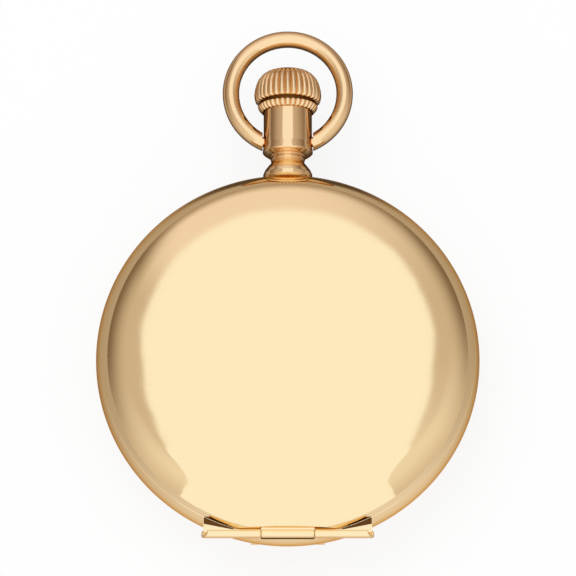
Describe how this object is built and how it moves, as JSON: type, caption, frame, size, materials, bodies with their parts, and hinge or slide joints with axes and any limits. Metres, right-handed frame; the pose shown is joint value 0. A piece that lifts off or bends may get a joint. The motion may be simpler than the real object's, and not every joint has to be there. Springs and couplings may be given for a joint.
{
  "type": "full hunter pocket watch",
  "caption": "Round full hunter pocket watch with hinged front and back lids, crown, swivelling bow ring, glass, dial, hands and a hand-wound lever movement inside.",
  "frame": {"origin": "centre of the flat on the back cover that the closed watch rests on, on the axis of the round case", "axes": "+Z from the back cover to the front lid, +Y from the case centre to the crown and bow, +X to the right of the dial as the crown points up; the lids hinge at -Y"},
  "size_m": [0.052, 0.0729, 0.0156],
  "materials": {
    "polished_gold": "mirror-polished gold-filled case metal",
    "inner_gold": "polished gold wash",
    "warm_gold": "polished deep-toned gold",
    "hinge_brass": "drawn wire",
    "glass": "clear polished",
    "enamel": "fired white enamel on copper",
    "blued_steel": "heat-blued and polished",
    "nickel": "nickel-plated with stripes",
    "ruby": "polished synthetic ruby",
    "gilt_brass": "gilded",
    "polished_steel": "hardened and polished"
  },
  "bodies": {
    "root": {"case_centre": "polished_gold", "front_hinge_pin": "hinge_brass", "back_hinge_pin": "hinge_brass", "bezel": "polished_gold", "crystal": "glass", "pendant": "polished_gold", "stem_sleeve": "polished_steel", "spring_screws": "blued_steel", "case_screws": "blued_steel", "dial": "enamel", "seconds_dial": "enamel", "main_plate": "nickel", "barrel_bridge": "nickel", "train_bridge": "nickel", "balance_cock": "nickel", "pallet_bridge": "nickel", "bridge_screws": "blued_steel", "jewels": "ruby", "hairspring_stud": "polished_steel", "click_spring": "polished_steel", "wheel_screws": "blued_steel"},
    "front_lid": {"front_lid": "polished_gold"},
    "back_cover": {"back_cover": "polished_gold"},
    "cuvette": {"cuvette": "inner_gold"},
    "bow": {"bow": "warm_gold"},
    "winding_pinion": {"winding_pinion": "polished_steel"},
    "crown": {"crown": "warm_gold", "stem": "polished_steel"},
    "clutch": {"clutch_wheel": "polished_steel"},
    "setting_lever": {"setting_lever": "polished_steel"},
    "clutch_lever": {"clutch_lever": "polished_steel"},
    "catch_spring": {"catch_spring": "polished_steel"},
    "lift_spring": {"lift_spring": "polished_steel"},
    "crown_wheel": {"crown_wheel": "polished_steel"},
    "ratchet": {"ratchet_wheel": "polished_steel", "barrel_arbor": "polished_steel"},
    "click": {"click": "polished_steel"},
    "barrel": {"mainspring_barrel": "gilt_brass", "mainspring": "polished_steel"},
    "centre_wheel": {"centre_wheel": "gilt_brass", "cannon_pinion": "polished_steel", "minute_hand": "blued_steel"},
    "third_wheel": {"third_wheel": "gilt_brass"},
    "fourth_wheel": {"fourth_wheel": "gilt_brass", "seconds_hand": "blued_steel"},
    "escape_wheel": {"escape_wheel": "polished_steel"},
    "minute_wheel": {"minute_wheel": "gilt_brass"},
    "hour_wheel": {"hour_wheel": "gilt_brass", "hour_hand": "blued_steel"},
    "setting_wheel": {"setting_wheel": "polished_steel"},
    "pallet_fork": {"pallet_fork": "polished_steel"},
    "balance": {"balance_wheel": "gilt_brass", "balance_screws": "gilt_brass", "balance_staff": "polished_steel", "hairspring": "blued_steel"},
    "regulator": {"regulator": "polished_steel"}
  },
  "joints": [
    {"name": "lid_hinge", "type": "hinge", "parent": "root", "child": "front_lid", "pos_m": [0, -0.02505, 0.0103], "axis": [1, 0, 0], "range_deg": [0, 100]},
    {"name": "back_hinge", "type": "hinge", "parent": "root", "child": "back_cover", "pos_m": [0, -0.02475, 0.0053], "axis": [-1, 0, 0], "range_deg": [0, 100]},
    {"name": "cuvette_hinge", "type": "hinge", "parent": "root", "child": "cuvette", "pos_m": [0, -0.02475, 0.0053], "axis": [-1, 0, 0], "range_deg": [0, 56]},
    {"name": "bow_swing", "type": "hinge", "parent": "root", "child": "bow", "pos_m": [0, 0.03105, 0.0078], "axis": [1, 0, 0], "range_deg": [-90, 90]},
    {"name": "crown_spin", "type": "hinge", "parent": "root", "child": "winding_pinion", "pos_m": [0, 0.01585, 0.0078], "axis": [0, 1, 0], "continuous": true},
    {"name": "crown_push", "type": "slide", "parent": "winding_pinion", "child": "crown", "axis": [0, 1, 0], "range_m": [-0.0006, 0.001]},
    {"name": "clutch_slide", "type": "slide", "parent": "winding_pinion", "child": "clutch", "axis": [0, 1, 0], "range_m": [-0.00046, 0.00028]},
    {"name": "setting_lever_swing", "type": "hinge", "parent": "root", "child": "setting_lever", "pos_m": [0.0034, 0.01755, 0.0103], "axis": [0, 0, -1], "range_deg": [-10.5, 17.2]},
    {"name": "clutch_lever_swing", "type": "hinge", "parent": "root", "child": "clutch_lever", "pos_m": [-0.0046, 0.0136, 0.0103], "axis": [0, 0, 1], "range_deg": [-5.8, 3.6]},
    {"name": "catch_flex", "type": "hinge", "parent": "root", "child": "catch_spring", "pos_m": [-0.02024, 0.01169, 0.0089], "axis": [0, 0, -1], "range_deg": [0, 0.8], "stiffness_Nm_per_rad": 0.02},
    {"name": "lift_spring_flex", "type": "hinge", "parent": "root", "child": "lift_spring", "pos_m": [-0.02196, -0.00799, 0.0089], "axis": [-0.9397, -0.342, 0], "range_deg": [0, 4.7]},
    {"name": "crown_wheel_spin", "type": "hinge", "parent": "root", "child": "crown_wheel", "pos_m": [0, 0.01265, 0.0045], "axis": [0, 0, 1], "continuous": true},
    {"name": "ratchet_spin", "type": "hinge", "parent": "root", "child": "ratchet", "pos_m": [-0.00894, 0.00475, 0.0045], "axis": [0, 0, 1], "continuous": true},
    {"name": "click_swing", "type": "hinge", "parent": "root", "child": "click", "pos_m": [-0.01214, -0.00404, 0.0045], "axis": [0, 0, 1], "range_deg": [0, 6], "stiffness_Nm_per_rad": 0.0001},
    {"name": "fourth_wheel_spin", "type": "hinge", "parent": "root", "child": "fourth_wheel", "pos_m": [0.0112, 0, 0.0073], "axis": [0, 0, -1], "continuous": true},
    {"name": "centre_wheel_spin", "type": "hinge", "parent": "root", "child": "centre_wheel", "pos_m": [0, 0, 0.0073], "axis": [0, 0, -1], "continuous": true},
    {"name": "third_wheel_spin", "type": "hinge", "parent": "root", "child": "third_wheel", "pos_m": [0.0064, 0.00419, 0.0073], "axis": [0, 0, -1], "continuous": true},
    {"name": "barrel_spin", "type": "hinge", "parent": "root", "child": "barrel", "pos_m": [-0.00894, 0.00475, 0.0073], "axis": [0, 0, -1], "continuous": true},
    {"name": "escape_wheel_spin", "type": "hinge", "parent": "root", "child": "escape_wheel", "pos_m": [0.0125, -0.00483, 0.0073], "axis": [0, 0, -1], "continuous": true},
    {"name": "minute_wheel_spin", "type": "hinge", "parent": "root", "child": "minute_wheel", "pos_m": [-0.00164, 0.00451, 0.0104], "axis": [0, 0, -1], "continuous": true},
    {"name": "hour_wheel_spin", "type": "hinge", "parent": "root", "child": "hour_wheel", "pos_m": [0, 0, 0.0104], "axis": [0, 0, -1], "continuous": true},
    {"name": "setting_wheel_spin", "type": "hinge", "parent": "root", "child": "setting_wheel", "pos_m": [0, 0.00986, 0.0104], "axis": [0, 0, -1], "continuous": true},
    {"name": "balance_swing", "type": "hinge", "parent": "root", "child": "balance", "pos_m": [0.0056, -0.0114, 0.006], "axis": [0, 0, 1], "range_deg": [-150, 150], "stiffness_Nm_per_rad": 0.000002, "deforming": ["hairspring"]},
    {"name": "pallet_swing", "type": "hinge", "parent": "root", "child": "pallet_fork", "pos_m": [0.00938, -0.0078, 0.0067], "axis": [0, 0, -1], "range_deg": [-5, 5]},
    {"name": "regulator_turn", "type": "hinge", "parent": "root", "child": "regulator", "pos_m": [0.0056, -0.0114, 0.00385], "axis": [0, 0, 1], "range_deg": [-15, 15]}
  ],
  "couplings": [
    {"joint": "cuvette_hinge", "follows": "back_hinge", "ratio": 0.55},
    {"joint": "clutch_slide", "follows": "crown_push", "ratio": -0.45},
    {"joint": "setting_lever_swing", "follows": "crown_push", "rad_per_m": 294.12},
    {"joint": "clutch_lever_swing", "follows": "crown_push", "rad_per_m": -97.826},
    {"joint": "lift_spring_flex", "follows": "lid_hinge", "ratio": 0.046},
    {"joint": "crown_wheel_spin", "follows": "crown_spin", "ratio": 0.66667},
    {"joint": "ratchet_spin", "follows": "crown_spin", "ratio": -0.35556},
    {"joint": "centre_wheel_spin", "follows": "fourth_wheel_spin", "ratio": 0.016667},
    {"joint": "third_wheel_spin", "follows": "fourth_wheel_spin", "ratio": -0.13333},
    {"joint": "barrel_spin", "follows": "fourth_wheel_spin", "ratio": -0.0020833},
    {"joint": "escape_wheel_spin", "follows": "fourth_wheel_spin", "ratio": -10},
    {"joint": "minute_wheel_spin", "follows": "fourth_wheel_spin", "ratio": -0.0055556},
    {"joint": "hour_wheel_spin", "follows": "fourth_wheel_spin", "ratio": 0.0013889},
    {"joint": "setting_wheel_spin", "follows": "fourth_wheel_spin", "ratio": 0.01},
    {"joint": "pallet_swing", "follows": "balance_swing", "ratio": 0.033333}
  ]
}
